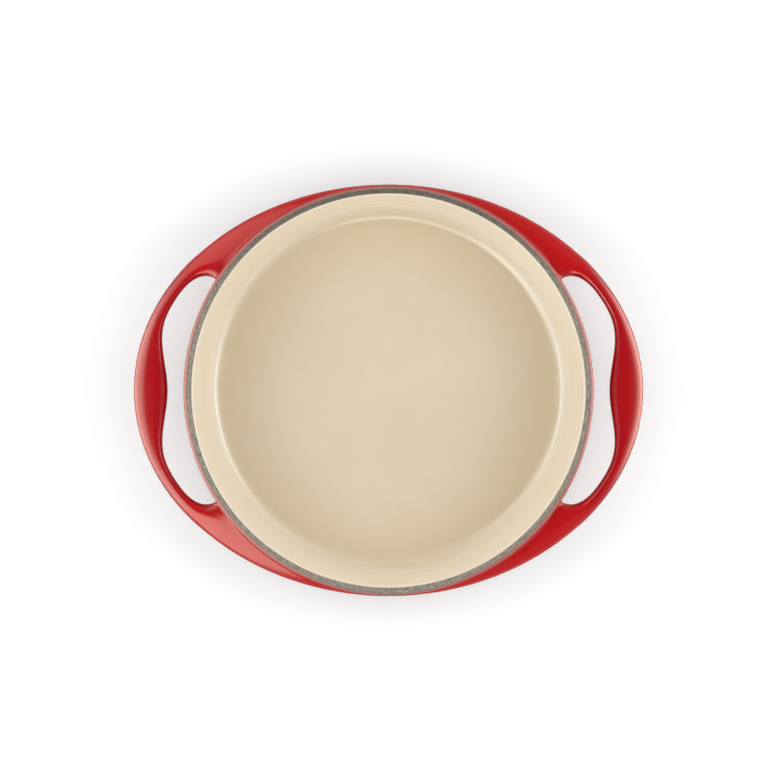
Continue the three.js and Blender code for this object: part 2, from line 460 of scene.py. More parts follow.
@dataclass(frozen=True)
class Specks(SharedEffect):
    """The speckle of a matt ground coat: pale grains, dark pits and soft clouds."""

    name: ClassVar[str] = "ground_specks"
    inputs: ClassVar[dict[str, str]] = {
        "Place": "NodeSocketVector",
        "Pale": "NodeSocketColor",
        "Dark": "NodeSocketColor",
        "Pit": "NodeSocketColor",
        "Matt": "NodeSocketFloat",
    }
    outputs: ClassVar[dict[str, str]] = {
        "Color": "NodeSocketColor",
        "Roughness": "NodeSocketFloat",
        "Height": "NodeSocketFloat",
    }

    grain_scale: float = 1400.0
    cloud_scale: float = 110.0
    cell_scale: float = 800.0
    clouded: float = 0.8
    pitted_from: float = 1.05
    pitted_to: float = 1.15
    pit_core: float = 0.2
    pit_rim: float = 0.5
    streak_scale: float = 1500.0
    streak_length: float = 50.0
    grain_share: float = 0.35
    streak_share: float = 0.65
    dark_until: float = 0.3
    pale_from: float = 0.7
    pit_tone: float = 0.8
    matt_swing: float = 0.12

    def draw(self, sheet: Sheet, given: bpy.types.NodeOutputs, made: bpy.types.NodeInputs) -> None:
        """Scatters the pits over the grain.

        Args:
            sheet: The group's tree.
            given: The sockets of the group's input.
            made: The sockets of the group's output.
        """
        place = given["Place"]
        grain = sheet.noise(place, self.grain_scale, detail=3.0)
        cloud = sheet.noise(place, self.cloud_scale, detail=3.0)
        pits = self.pits(sheet, place, cloud)
        grained = sheet.math("MULTIPLY", grain, self.grain_share)
        streaks = sheet.streaks(place, self.streak_scale, self.streak_length)
        wiped = sheet.math("MULTIPLY", streaks, self.streak_share)
        tone = sheet.step(sheet.math("ADD", grained, wiped), self.dark_until, self.pale_from)
        dusted = sheet.mix(tone, given["Dark"], given["Pale"])
        pitted = sheet.math("MULTIPLY", pits, self.pit_tone)
        sheet.feed(made["Color"], sheet.mix(pitted, dusted, given["Pit"]))
        uneven = sheet.span(cloud, -self.matt_swing, self.matt_swing)
        sheet.feed(made["Roughness"], sheet.math("ADD", given["Matt"], uneven))
        sheet.feed(made["Height"], sheet.math("SUBTRACT", grain, pits))

    def pits(
        self, sheet: Sheet, place: bpy.types.NodeSocket, cloud: bpy.types.NodeSocket
    ) -> bpy.types.NodeSocket:
        """The dark pits, which lie closer together where the clouds are.

        Args:
            sheet: The group's tree.
            place: The place on the piece.
            cloud: The clouds, from 0 to 1.

        Returns:
            The pits, from 0 to 1.
        """
        cells = sheet.add("ShaderNodeTexVoronoi", {"Vector": place, "Scale": self.cell_scale}).outputs
        chance = sheet.add("ShaderNodeSeparateColor", {0: cells["Color"]}).outputs[0]
        likely = sheet.math("ADD", chance, sheet.math("MULTIPLY", cloud, self.clouded))
        chosen = sheet.step(likely, self.pitted_from, self.pitted_to)
        round_spot = sheet.without(sheet.step(cells["Distance"], self.pit_core, self.pit_rim))
        return sheet.math("MULTIPLY", chosen, round_spot)


@dataclass(frozen=True)
class Finish(ABC):
    """A finish that can be laid on a piece."""

    def material(self, name: str) -> bpy.types.Material:
        """Makes the finish as a material.

        Args:
            name: The material's name.

        Returns:
            The material.
        """
        made = bpy.data.materials.new(name)
        made.use_nodes = True
        sheet = Sheet(made.node_tree)
        place = sheet.add("ShaderNodeTexCoord").outputs["Object"]
        self.lay(sheet, place, made.node_tree.nodes["Principled BSDF"].inputs)
        return made

    @abstractmethod
    def lay(self, sheet: Sheet, place: bpy.types.NodeSocket, skin: bpy.types.NodeInputs) -> None:
        """Fills the material in.

        Args:
            sheet: The material's tree.
            place: The place on the piece.
            skin: The inputs of the material's shader.
        """

    def relief(
        self, sheet: Sheet, skin: bpy.types.NodeInputs, height: bpy.types.NodeSocket, depth: float
    ) -> None:
        """Raises a fine relief on the surface, from a height between 0 and 1 and a depth in metres."""
        bump = sheet.add("ShaderNodeBump", {"Height": height, "Distance": depth})
        sheet.feed(skin["Normal"], bump.outputs["Normal"])


@dataclass(frozen=True)
class GlossEnamel(Finish):
    """Glossy fired enamel, thinned at the wiped rim to the ground coat's colour, on the red with a painted
    highlight.
    """

    full: Colour
    deep: Colour
    ground: Colour
    gloss: float
    relief_depth: float
    shine: float
    shine_tint: Colour
    # The deep colour is laid as painted shade, on the sand together with enamel pooled thick.
    pooled_and_shaded: float
    deep_start: float
    deep_edge: float
    deep_end: float
    deep_y_share: float = 1.0
    bounce_cut: float = 0.0
    edge_matt: float = 0.3

    def pooling_and_shade(self, sheet: Sheet, place: bpy.types.NodeSocket) -> bpy.types.NodeSocket:
        """How deep the colour goes, most in one ring round the pan: painted shade, on the sand also enamel
        pooled there.

        Args:
            sheet: The material's tree.
            place: The place on the piece.

        Returns:
            The thickness, from 0 to 1.
        """
        radius = sheet.radius(place, self.deep_y_share)
        deepening = sheet.step(radius, self.deep_start, self.deep_edge)
        floor = sheet.span(deepening, self.pooled_and_shaded, 1.0)
        past = sheet.step(radius, self.deep_edge, self.deep_end)
        return sheet.math("MULTIPLY", floor, sheet.without(past))

    def lay(self, sheet: Sheet, place: bpy.types.NodeSocket, skin: bpy.types.NodeInputs) -> None:
        """Lays the colour, the gloss and the thinned edge.

        Args:
            sheet: The material's tree.
            place: The place on the piece.
            skin: The inputs of the material's shader.
        """
        given = {"Deep": self.deep, "Full": self.full, "Gloss": self.gloss, "Pooled and shaded": self.pooling_and_shade(sheet, place)}
        fired = FiredSkin().use(sheet, {"Place": place, **given})
        edge = sheet.add("ShaderNodeAttribute", attribute_name=EDGE).outputs["Fac"]
        thin = ThinnedEdge().use(sheet, {"Place": place, "Edge": edge})
        # On the red, this pale colour on the rim's rounding is partly the ground coat through thin enamel,
        # partly a painted highlight.
        colour = sheet.mix(thin["Mask"], fired["Color"], self.ground)
        if self.bounce_cut:
            bounced = sheet.add("ShaderNodeLightPath").outputs["Is Diffuse Ray"]
            colour = sheet.mix(sheet.math("MULTIPLY", bounced, self.bounce_cut), colour, BLACK)
        sheet.feed(skin["Base Color"], colour)
        dulled = sheet.math("MULTIPLY", thin["Mask"], self.edge_matt)
        sheet.feed(skin["Roughness"], sheet.math("ADD", fired["Roughness"], dulled))
        skin["Specular IOR Level"].default_value = self.shine
        skin["Specular Tint"].default_value = self.shine_tint
        self.relief(sheet, skin, fired["Height"], self.relief_depth)


@dataclass(frozen=True)
class GroundCoat(Finish):
    """Matt, speckled ground coat, with painted shade where it runs out at its edges."""

    pale: Colour
    dark: Colour
    pit: Colour
    matt: float
    relief_depth: float
    metallic: float = 0.0
    shine: float = 0.5
    back_start: float = 40 * MM
    back_end: float = 125 * MM
    back_shade: float = 0.0
    edge_shade: float = 0.4

    def lay(self, sheet: Sheet, place: bpy.types.NodeSocket, skin: bpy.types.NodeInputs) -> None:
        """Lays the speckle and the painted shade at the edges and at the back.

        Args:
            sheet: The material's tree.
            place: The place on the piece.
            skin: The inputs of the material's shader.
        """
        given = {"Place": place, "Pale": self.pale, "Dark": self.dark, "Pit": self.pit, "Matt": self.matt}
        specks = Specks().use(sheet, given)
        edge = sheet.add("ShaderNodeAttribute", attribute_name=EDGE).outputs["Fac"]
        thin = ThinnedEdge().use(sheet, {"Place": place, "Edge": edge})
        # Painted shade: darker towards the edges, in the seams beside the coats, and on the rim towards the
        # back of the pan.
        dulled = sheet.math("MULTIPLY", thin["Mask"], self.edge_shade)
        if self.back_shade:
            along = sheet.add("ShaderNodeSeparateXYZ", {0: place}).outputs["Y"]
            back = sheet.step(along, self.back_start, self.back_end)
            dulled = sheet.math("MAXIMUM", dulled, sheet.math("MULTIPLY", back, self.back_shade))
        sheet.feed(skin["Base Color"], sheet.mix(dulled, specks["Color"], self.pit))
        sheet.feed(skin["Roughness"], specks["Roughness"])
        skin["Metallic"].default_value = self.metallic
        skin["Specular IOR Level"].default_value = self.shine
        self.relief(sheet, skin, specks["Height"], self.relief_depth)


RED_ENAMEL = GlossEnamel(
    full=srgb(192, 12, 22),
    deep=srgb(172, 6, 20),
    # Pale pinkish grey on the rim's rounding: partly the ground coat through thin red, partly a painted
    # highlight.
    ground=srgb(160, 114, 106),
    gloss=0.17,
    relief_depth=0.05 * MM,
    shine=0.9,
    shine_tint=(1.0, 0.85, 0.72, 1.0),
    # Painted shade: from 118 mm out along the length the red deepens, so the grips are darker than the webs.
    pooled_and_shaded=0.25,
    deep_start=118 * MM,
    deep_edge=140 * MM,
    deep_end=400 * MM,
    deep_y_share=0.0,
    bounce_cut=0.8,
)
SAND_ENAMEL = GlossEnamel(
    full=srgb(235, 222, 201),
    deep=srgb(228, 210, 179),
    ground=srgb(190, 180, 162),
    gloss=0.22,
    relief_depth=0.06 * MM,
    shine=1.0,
    shine_tint=(0.9, 1.0, 1.0, 1.0),
    # Deeper sand in a ring at the floor's edge, 60 to 113 mm out: painted shade in the corner, partly also
    # enamel pooled there.
    pooled_and_shaded=0.6,
    deep_start=60 * MM,
    deep_edge=106 * MM,
    deep_end=113 * MM,
    deep_y_share=0.96,
)
RIM_COAT = GroundCoat(
    pale=srgb(168, 160, 144),
    dark=srgb(104, 95, 85),
    pit=srgb(58, 50, 44),
    matt=0.72,
    relief_depth=0.1 * MM,
    shine=0.4,
    # Painted shade, darker towards the back of the band.
    back_shade=0.62,
)
BASE_COAT = GroundCoat(
    pale=srgb(60, 57, 54),
    dark=srgb(38, 36, 35),
    pit=srgb(22, 21, 20),
    matt=0.45,
    relief_depth=0.06 * MM,
)
CAST_IRON = GroundCoat(
    pale=srgb(96, 94, 90),
    dark=srgb(66, 64, 61),
    pit=srgb(44, 42, 40),
    matt=0.6,
    relief_depth=0.15 * MM,
    metallic=0.8,
)


def spun(profile: Profile, steps: int, turn: float = math.tau) -> bmesh.types.BMesh:
    """Turns a profile round the pan's axis.

    Args:
        profile: The points of the profile, as radius and height.
        steps: How many steps the turn takes.
        turn: How far it is turned.

    Returns:
        The turned surface, whose points carry their row in the profile.
    """
    mesh = bmesh.new()
    row = mesh.verts.layers.int.new("row")
    points = [mesh.verts.new((radius, 0, height)) for radius, height in profile]
    for place, point in enumerate(points):
        point[row] = place
    edges = [mesh.edges.new(pair) for pair in zip(points, points[1:])]
    bmesh.ops.spin(
        mesh,
        geom=points + edges,
        cent=(0, 0, 0),
        axis=(0, 0, 1),
        angle=turn,
        steps=steps,
        use_merge=turn == math.tau,
    )
    bmesh.ops.remove_doubles(mesh, verts=mesh.verts, dist=MERGE_DISTANCE)
    return mesh


def place_angle(point: bmesh.types.BMVert) -> float:
    """The angle of a point round the pan's axis."""
    return math.atan2(point.co.y, point.co.x)


@dataclass
class Coat(ABC):
    """A coat of the pan, built as a cage that is then smoothed."""

    sizes: PanSizes
    part: ClassVar[Part]
    slot: ClassVar[Slot]
    finish: ClassVar[Finish]
    name: ClassVar[str]
    levels: ClassVar[int] = 2

    @abstractmethod
    def cage(self) -> bmesh.types.BMesh:
        """The cage of the coat's outer skin."""

    def build(self) -> None:
        """Makes the coat, dresses it and puts it in place of its node."""
        cage = self.cage()
        bmesh.ops.recalc_face_normals(cage, faces=cage.faces)
        for face in cage.faces:
            face.smooth = True
        mesh = bpy.data.meshes.new(self.name)
        cage.to_mesh(mesh)
        cage.free()
        piece = bpy.data.objects.new(self.name, mesh)
        bpy.context.scene.collection.objects.link(piece)
        mesh.materials.append(self.finish.material(self.slot.value))
        self.smooth(piece)
        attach(piece, BODY)
        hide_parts(self.part.value)
        log.info("%s: %d cage faces", piece.name, len(mesh.polygons))

    def whole_turn(self, profile: Profile) -> bmesh.types.BMesh:
        """A full turn of a profile, drawn wider so that it keeps its radii when it is smoothed."""
        points = [(self.sizes.spread * radius, height) for radius, height in profile]
        return spun(points, self.sizes.turn_steps)

    def smooth(self, piece: bpy.types.Object) -> None:
        """Smooths the cage and gives the coat its thickness.

        Args:
            piece: The coat's object.
        """
        rounded = piece.modifiers.new("rounded", "SUBSURF")
        rounded.levels = self.levels
        rounded.render_levels = self.levels
        thick = piece.modifiers.new("thick", "SOLIDIFY")
        thick.thickness = self.sizes.coat_thickness
        thick.offset = -1


@dataclass
class ExteriorCoat(Coat):
    """The red coat: the outside of the wall, and both handles with the band that joins them.

    The rows of the cage run down the wall, its spokes round the pan and its rings outwards from the wall.
    Bends, turns and eases are in degrees.
    """

    part: ClassVar[Part] = Part.EXTERIOR
    slot: ClassVar[Slot] = Slot.RED_ENAMEL
    finish: ClassVar[Finish] = RED_ENAMEL
    name: ClassVar[str] = "red_outside_coat"
    # Rows at the rim where the red turns pale: partly thinned enamel over the ground coat, partly a painted
    # highlight.
    thinning: ClassVar[dict[int, float]] = {0: 1.0, 1: 0.7, 2: 0.3}
    end_turns: ClassVar[dict[int, float]] = {1: -0.6, 2: -2.3, 3: -0.9, 4: 0.0}
    end_eases: ClassVar[dict[int, float]] = {1: 0.3, 2: 0.9}

    grip_width: float = 21 * MM
    waist_width: float = 8.7 * MM
    grip_angle: float = math.radians(19.5)
    grip_swell: float = 1.07
    handle_thickness: float = 10.5 * MM
    handle_drop: float = 5 * MM
    band_thickness: float = 7.5 * MM
    band_drop: float = 2 * MM
    band_sag: float = 0.25
    sag_start: float = math.radians(60)
    edge_reach: float = 13 * MM
    edge_share: float = 0.62
    corner_share: float = 0.74
    crest_lean: float = 0.38
    root_lift: float = 0.5
    root_spread: float = math.radians(10)
    web_rise: float = 0.7 * MM
    shoulder_share: float = 0.5
    shoulder_bend: float = 0.11
    neck_shares: tuple[float, float] = (0.25, 0.6)
    under_band: float = 4.5 * MM
    wall_levels: tuple[float, ...] = (20 * MM, 12 * MM)
    foot_bends: tuple[float, ...] = (-18, -40, -65)
    foot_swell: float = 1.02
    end_inset: float = 1.4 * MM
    bar_start: float = math.radians(1.5)
    wiped_from: float = 0.2
    spoke_crowding: float = 1.2
    end_spoke: int = 7
    bar_steps: int = 8
    top_row: int = 5
    middle_row: int = 6
    bottom_row: int = 7
    root_ring: int = 1
    inner_ring: int = 2
    crest_ring: int = 3
    outer_ring: int = 4

    @property
    def quarter_steps(self) -> int:
        """Steps of the cage in a quarter of the pan."""
        return self.sizes.turn_steps // 4

    @property
    def end_angle(self) -> float:
        """Where the finger openings end."""
        return self.spoke_angle(self.end_spoke)

    def spoke_angle(self, spoke: int) -> float:
        """The angle of a spoke of the cage, with the spokes past an opening drawn in towards its end.

        Args:
            spoke: Number of the spoke, from the middle of the grip on.

        Returns:
            The angle.
        """
        end = QUARTER_TURN * self.end_spoke / self.quarter_steps
        past = (spoke - self.end_spoke) / (self.quarter_steps - self.end_spoke)
        if past > 0:
            return between(end, QUARTER_TURN, past**self.spoke_crowding)
        return end * spoke / self.end_spoke

    def ellipse(self, angle: float) -> float:
        """Radius of the outline of the handles."""
        return 1 / math.hypot(math.cos(angle) / self.sizes.reach, math.sin(angle) / self.sizes.band_radius)

    def bar_width(self, angle: float) -> float:
        """Width of a handle's bar, which swells into the grip."""
        swell = (1 + math.cos(math.pi * angle / self.grip_angle)) / 2 if angle < self.grip_angle else 0.0
        return between(self.waist_width, self.grip_width, swell * self.grip_swell)

    def top(self, angle: float) -> float:
        """Height of the top of the handles and band."""
        drop = between(self.handle_drop, self.band_drop, smooth(self.end_angle, QUARTER_TURN, angle))
        return self.sizes.height - drop

    def half_thickness(self, angle: float) -> float:
        """Half the thickness of the handles and band."""
        share = smooth(self.end_angle, QUARTER_TURN, angle)
        return between(self.handle_thickness, self.band_thickness, share) / 2

    def wall_rows(self, angle: float) -> Profile:
        """The cage of the wall at an angle, from the rim band down to the base.

        Args:
            angle: Place round the pan.

        Returns:
            The points as radius and height.
        """
        sizes = self.sizes
        rim = sizes.rim_rounding
        top = self.top(angle)
        half = self.half_thickness(angle)
        bottom = top - 2 * half
        shoulder = sizes.height - self.shoulder_share * rim
        lift = self.root_lift * smooth(self.end_angle, self.end_angle + self.root_spread, angle)
        root = between(top, shoulder, lift)
        upper_neck, lower_neck = (between(shoulder, root, share) for share in self.neck_shares)
        wall = [lower_neck, root, top - half, bottom, bottom - self.under_band, *self.wall_levels]
        foot = self.foot_swell * sizes.foot_radius
        bends = [math.radians(degrees) for degrees in self.foot_bends]
        return [
            (sizes.rim_band_outer, sizes.height),
            (sizes.rim_band_outer + self.shoulder_share * rim, sizes.height - self.shoulder_bend * rim),
            (sizes.rim_radius - self.shoulder_bend * rim, shoulder),
            (sizes.rim_radius, upper_neck),
            *((min(sizes.outer_wall(z), sizes.rim_radius), z) for z in wall),
            *(
                (sizes.base_radius + foot * math.cos(bend), sizes.foot_radius + foot * math.sin(bend))
                for bend in bends
            ),
            (sizes.base_radius, 0.0),
        ]

    def bar_point(self, angle: float, row: int, ring: int) -> tuple[float, float]:
        """A point of the section of a handle's bar.

        Args:
            angle: Place round the pan.
            row: Top, middle or bottom row.
            ring: Inner, crest or outer ring.

        Returns:
            Its radius and height.
        """
        outer = self.ellipse(angle)
        width = self.bar_width(angle) / 2
        # Smoothing pulls a point a sixth of the way to each neighbour, so the cage is drawn wider.
        stretch = 6 / (4 + 2 * self.corner_share)
        across = ring - self.crest_ring
        up = self.middle_row - row
        corner = self.corner_share if across and up else 1.0
        half = self.half_thickness(angle)
        crest = outer - width * (1 + self.crest_lean)
        slope = width * (1 + self.crest_lean * across)
        radius = crest + across * corner * stretch * slope
        return radius, self.top(angle) - half + up * corner * stretch * half

    def web_point(self, spoke: int, row: int, ring: int) -> Vector:
        """A point of the web between the wall and the outline of the handles.

        Args:
            spoke: Spoke of the cage.
            row: Top, middle or bottom row.
            ring: How far out it is, from 1 to the outer ring.

        Returns:
            The point.
        """
        angle = self.spoke_angle(spoke)
        up = self.middle_row - row
        half = self.half_thickness(angle)
        middle = self.top(angle) - half
        root = self.sizes.outer_wall(middle + up * half)
        if spoke == self.end_spoke:
            return self.end_point(angle, root, row, ring)
        outer = self.ellipse(angle)
        edge = min(self.edge_reach, self.edge_share * (outer - root))
        crest = outer - edge
        stretch = 6 / (5 + self.corner_share)
        if ring == self.outer_ring:
            corner = self.corner_share if up else 1.0
            return polar(crest + edge * corner * stretch, angle, middle + up * corner * stretch * half)
        sag = self.band_sag * smooth(self.sag_start, QUARTER_TURN, angle) * ring / self.outer_ring
        radius = between(root, crest, ring / self.crest_ring)
        rise = between(self.web_rise, 0.0, ring / self.crest_ring) if row == self.top_row else 0.0
        return polar(radius, angle, middle + up * half * (stretch - sag) + rise)

    def end_point(self, angle: float, root: float, row: int, ring: int) -> Vector:
        """A point at the rounded end of a finger opening.

        Args:
            angle: Angle of the end.
            root: Radius of the wall in this row.
            row: Top, middle or bottom row.
            ring: How far out it is, from 1 to the outer ring.

        Returns:
            The point.
        """
        eased = 0.0 if row == self.middle_row else self.end_eases.get(ring, 0.0)
        turned = angle + math.radians(self.end_turns[ring] + eased)
        if ring == self.root_ring:
            inner, _ = self.bar_point(angle, self.middle_row, self.inner_ring)
            half = self.half_thickness(angle)
            up = self.middle_row - row
            return polar((root + inner) / 2, turned, self.top(angle) - half + up * half)
        radius, height = self.bar_point(angle, row, ring)
        inset = self.end_inset if ring == self.inner_ring else 0.0
        return polar(radius - inset, turned, height)

    def cage(self) -> bmesh.types.BMesh:
        """Spins a quarter of the wall, draws the web and handle out of it and mirrors the whole.

        Returns:
            The cage of the coat's outer skin.
        """
        mesh = self.wall()
        self.draw_web(mesh)
        self.draw_bar(mesh)
        return self.mirrored(mesh)

    def wall(self) -> bmesh.types.BMesh:
        """Spins a quarter of the wall and moves its points to the spokes of the cage.

        Returns:
            The wall, whose points carry their row, spoke and ring.
        """
        mesh = spun(self.wall_rows(0.0), self.quarter_steps, QUARTER_TURN)
        layers = mesh.verts.layers.int
        layers.new("spoke")
        layers.new("ring")
        row = layers["row"]
        spoke = layers["spoke"]
        for point in mesh.verts:
            point[spoke] = round(place_angle(point) / QUARTER_TURN * self.quarter_steps)
            angle = self.spoke_angle(point[spoke])
            radius, height = self.wall_rows(angle)[point[row]]
            point.co = polar(radius, angle, height)
        return mesh

    def draw_web(self, mesh: bmesh.types.BMesh) -> None:
        """Draws the web out of the wall, ring by ring.

        Args:
            mesh: The cage of a quarter.
        """
        row, spoke, ring = (mesh.verts.layers.int[name] for name in ("row", "spoke", "ring"))
        grown = [
            face
            for face in mesh.faces
            if all(self.top_row <= point[row] <= self.bottom_row for point in face.verts)
            and all(point[spoke] >= self.end_spoke for point in face.verts)
        ]
        for place in range(self.root_ring, self.outer_ring + 1):
            grown, points = self.extruded(mesh, grown)
            for point in points:
                point[ring] = place
                point.co = self.web_point(point[spoke], point[row], place)

    def draw_bar(self, mesh: bmesh.types.BMesh) -> None:
        """Draws the handle's bar out of the end of the web, as far as the middle of the grip.

        Args:
            mesh: The cage of a quarter.
        """
        row, spoke, ring = (mesh.verts.layers.int[name] for name in ("row", "spoke", "ring"))
        grown = [
            face
            for face in mesh.faces
            if all(point[ring] >= self.inner_ring for point in face.verts)
            and all(point[spoke] == self.end_spoke for point in face.verts)
        ]
        first_angle = self.end_angle - self.bar_start
        for step in range(1, self.bar_steps + 1):
            angle = first_angle * (1 - step / self.bar_steps)
            grown, points = self.extruded(mesh, grown)
            for point in points:
                radius, height = self.bar_point(angle, point[row], point[ring])
                point.co = polar(radius, angle, height)

    def extruded(
        self, mesh: bmesh.types.BMesh, faces: list[bmesh.types.BMFace]
    ) -> tuple[list[bmesh.types.BMFace], list[bmesh.types.BMVert]]:
        """Draws faces out of the cage.

        Args:
            mesh: The cage.
            faces: The faces to draw out.

        Returns:
            The new faces and their points.
        """
        drawn = bmesh.ops.extrude_face_region(mesh, geom=faces)["geom"]
        bmesh.ops.delete(mesh, geom=[face for face in faces if face.is_valid], context="FACES")
        ends = [item for item in drawn if isinstance(item, bmesh.types.BMFace)]
        return ends, [item for item in drawn if isinstance(item, bmesh.types.BMVert)]

    def mirrored(self, mesh: bmesh.types.BMesh) -> bmesh.types.BMesh:
        """Mirrors the quarter across both planes and lays the seam along the wiped rim band.

        Args:
            mesh: The cage of a quarter.

        Returns:
            The cage of the whole coat.
        """
        for place, axis in enumerate(Axis):
            on_plane = [point for point in mesh.verts if abs(point.co[place]) < MERGE_DISTANCE]
            for point in on_plane:
                point.co[place] = 0.0
            cut = [face for face in mesh.faces if all(point.co[place] == 0.0 for point in face.verts)]
            bmesh.ops.delete(mesh, geom=cut, context="FACES")
            whole = [*mesh.verts, *mesh.edges, *mesh.faces]
            bmesh.ops.mirror(mesh, geom=whole, merge_dist=MERGE_DISTANCE, axis=axis.value)
        row = mesh.verts.layers.int["row"]
        ring = mesh.verts.layers.int["ring"]
        spread = Matrix.Diagonal((self.sizes.spread, self.sizes.spread, 1, 1))
        bmesh.ops.transform(mesh, matrix=spread, verts=mesh.verts)
        edge = mesh.verts.layers.float.new(EDGE)
        for point in mesh.verts:
            near = self.thinning.get(point[row], 0.0) if not point[ring] else 0.0
            point[edge] = near
            point.co += self.sizes.wiped(place_angle(point)) * smooth(self.wiped_from, 1.0, near)
        return mesh


@dataclass
class InteriorCoat(Coat):
    """The sand-coloured coat: floor, inside of the wall and inner lip. Bends are in degrees."""

    part: ClassVar[Part] = Part.INTERIOR
    slot: ClassVar[Slot] = Slot.SAND_ENAMEL
    finish: ClassVar[Finish] = SAND_ENAMEL
    name: ClassVar[str] = "sand_inside_coat"
    thinning: ClassVar[dict[int, float]] = {0: 1.0, 1: 0.4}

    ripple: float = 0.055 * MM
    ripple_length: float = 9 * MM
    highest_row: int = 16
    lowest_row: int = 3
    lip_bends: tuple[tuple[float, float], ...] = ((0.35, 0.05), (-0.05, 0.45))
    lip_foot: float = 1.3
    wall_top: float = 3.2
    fillet_bends: tuple[float, ...] = (-12, -30, -50, -70)
    fillet_swell: float = 1.01
    floor_border: float = 4 * MM
    floor_shares: tuple[float, ...] = (0.8, 0.5, 0.2, 0.0)

    def rippled(self, height: float) -> float:
        """Radius of the wall at a height, with the faint rings that the enamel ran in."""
        swing = math.cos(math.tau * (height - self.sizes.floor_fillet) / self.ripple_length)
        return self.sizes.inner_wall(height) + self.ripple * swing

    def cage(self) -> bmesh.types.BMesh:
        """Spins the lip, wall, fillet and floor.

        Returns:
            The cage of the coat's upper skin.
        """
        sizes = self.sizes
        top = sizes.height
        floor = sizes.floor_thickness
        lip = sizes.lip_radius
        inset = sizes.floor_fillet * math.tan((QUARTER_TURN - sizes.wall_flare) / 2)
        centre = sizes.inner_wall(floor) - inset
        middle = floor + sizes.floor_fillet
        fillet = self.fillet_swell * sizes.floor_fillet
        bends = [math.radians(degrees) for degrees in self.fillet_bends]
        under_lip = top - self.lip_foot * lip
        rise = self.ripple_length / 4
        rows = range(self.highest_row, self.lowest_row - 1, -1)
        wall = [top - self.wall_top * lip, *(sizes.floor_fillet + rise * place for place in rows)]
        profile = [
            (sizes.rim_band_inner, top),
            *((sizes.lip_corner + out * lip, top - down * lip) for out, down in self.lip_bends),
            (sizes.inner_wall(under_lip), under_lip),
            *((self.rippled(z), z) for z in wall),
            *((centre + fillet * math.cos(bend), middle + fillet * math.sin(bend)) for bend in bends),
            (centre, floor),
            (centre - self.floor_border, floor),
            *((share * centre, floor) for share in self.floor_shares),
        ]
        mesh = self.whole_turn(profile)
        row = mesh.verts.layers.int["row"]
        edge = mesh.verts.layers.float.new(EDGE)
        for point in mesh.verts:
            point[edge] = self.thinning.get(point[row], 0.0)
        return mesh


@dataclass
class RimBand(Coat):
    """The matt, speckled band of ground coat on top of the rim."""

    part: ClassVar[Part] = Part.RIM
    slot: ClassVar[Slot] = Slot.RIM_GROUND_COAT
    finish: ClassVar[Finish] = RIM_COAT
    name: ClassVar[str] = "rim_band"

    seam: float = 0.08 * MM
    edge_dip: float = 0.06 * MM
    shares: tuple[float, ...] = (0.0, 0.15, 0.5, 0.85, 1.0)

    def cage(self) -> bmesh.types.BMesh:
        """Spins the top of the band and lays its outer edge where it was wiped.

        Returns:
            The cage of the band's top.
        """
        sizes = self.sizes
        inner = sizes.rim_band_inner + self.seam
        outer = sizes.rim_band_outer - self.seam
        profile = [(between(inner, outer, share), sizes.height) for share in self.shares]
        mesh = self.whole_turn(profile)
        row = mesh.verts.layers.int["row"]
        edge = mesh.verts.layers.float.new(EDGE)
        for point in mesh.verts:
            across = point[row] / (len(profile) - 1)
            # Both edges carry the edge mark, which the rim coat darkens as painted shade in the seams.
            if across in (0.0, 1.0):
                point[edge] = 1.0
                point.co.z -= self.edge_dip
            point.co += sizes.wiped(place_angle(point)) * across
        return mesh


@dataclass
class BaseCoat(Coat):
    """The dark ground coat of the underside, a little hollow so that the pan stands on its edge."""

    part: ClassVar[Part] = Part.BASE
    slot: ClassVar[Slot] = Slot.BASE_GROUND_COAT
    finish: ClassVar[Finish] = BASE_COAT
    name: ClassVar[str] = "base_coat"

    seam: float = 0.15 * MM
    hollow: float = 0.15 * MM
    edge_lift: float = 0.06 * MM
    standing: tuple[float, float] = (0.8 * MM, 6 * MM)
    hollow_bend: tuple[float, float] = (9 * MM, 0.3)
    hollow_start: float = 14 * MM
    middle_shares: tuple[float, ...] = (0.6, 0.3, 0.0)

    def cage(self) -> bmesh.types.BMesh:
        """Spins the standing edge and the hollow inside it.

        Returns:
            The cage of the coat's under skin.
        """
        edge = self.sizes.base_radius - self.seam
        bend, share_at_bend = self.hollow_bend
        profile = [
            (edge, self.edge_lift),
            *((edge - inset, 0.0) for inset in self.standing),
            (edge - bend, share_at_bend * self.hollow),
            (edge - self.hollow_start, self.hollow),
            *((share * edge, self.hollow) for share in self.middle_shares),
        ]
        return self.whole_turn(profile)


@dataclass
class Casting:
    """The iron casting, which keeps the mesh of its node."""

    part: ClassVar[Part] = Part.CASTING
    finish: ClassVar[Finish] = CAST_IRON

    def dress(self) -> None:
        """Lays the cast-iron finish on the node."""
        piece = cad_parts[self.part.value]
        finish = self.finish.material(Slot.CAST_IRON.value)
        for place in range(len(piece.data.materials)):
            piece.data.materials[place] = finish
        log.info("%s: cast-iron finish", piece.name)


class Lights(Enum):
    """What a lamp does: light the room, or only show as a highlight in the gloss."""

    ROOM = "room"
    HIGHLIGHT = "highlight"


